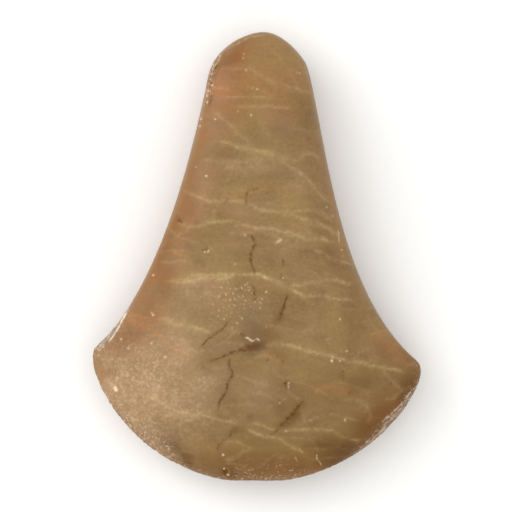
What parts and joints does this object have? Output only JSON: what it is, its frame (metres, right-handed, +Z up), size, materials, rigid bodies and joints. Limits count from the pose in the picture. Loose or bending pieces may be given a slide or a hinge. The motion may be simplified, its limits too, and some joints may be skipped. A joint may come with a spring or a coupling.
{
  "type": "stone spud",
  "caption": "Flared-bit stone celt with a narrow rounded poll, concave sides, two ears and a broad round bit, in polished veined brown stone.",
  "frame": {"origin": "on the resting flat, under the centre of the outline", "axes": "+Y from the bit to the poll, +X to the right when the face is looked down on, +Z up through the thickness"},
  "size_m": [0.0878, 0.12, 0.0206],
  "materials": {
    "veined_stone": "polished"
  },
  "bodies": {
    "root": {"stone_spud": "veined_stone"}
  },
  "joints": []
}
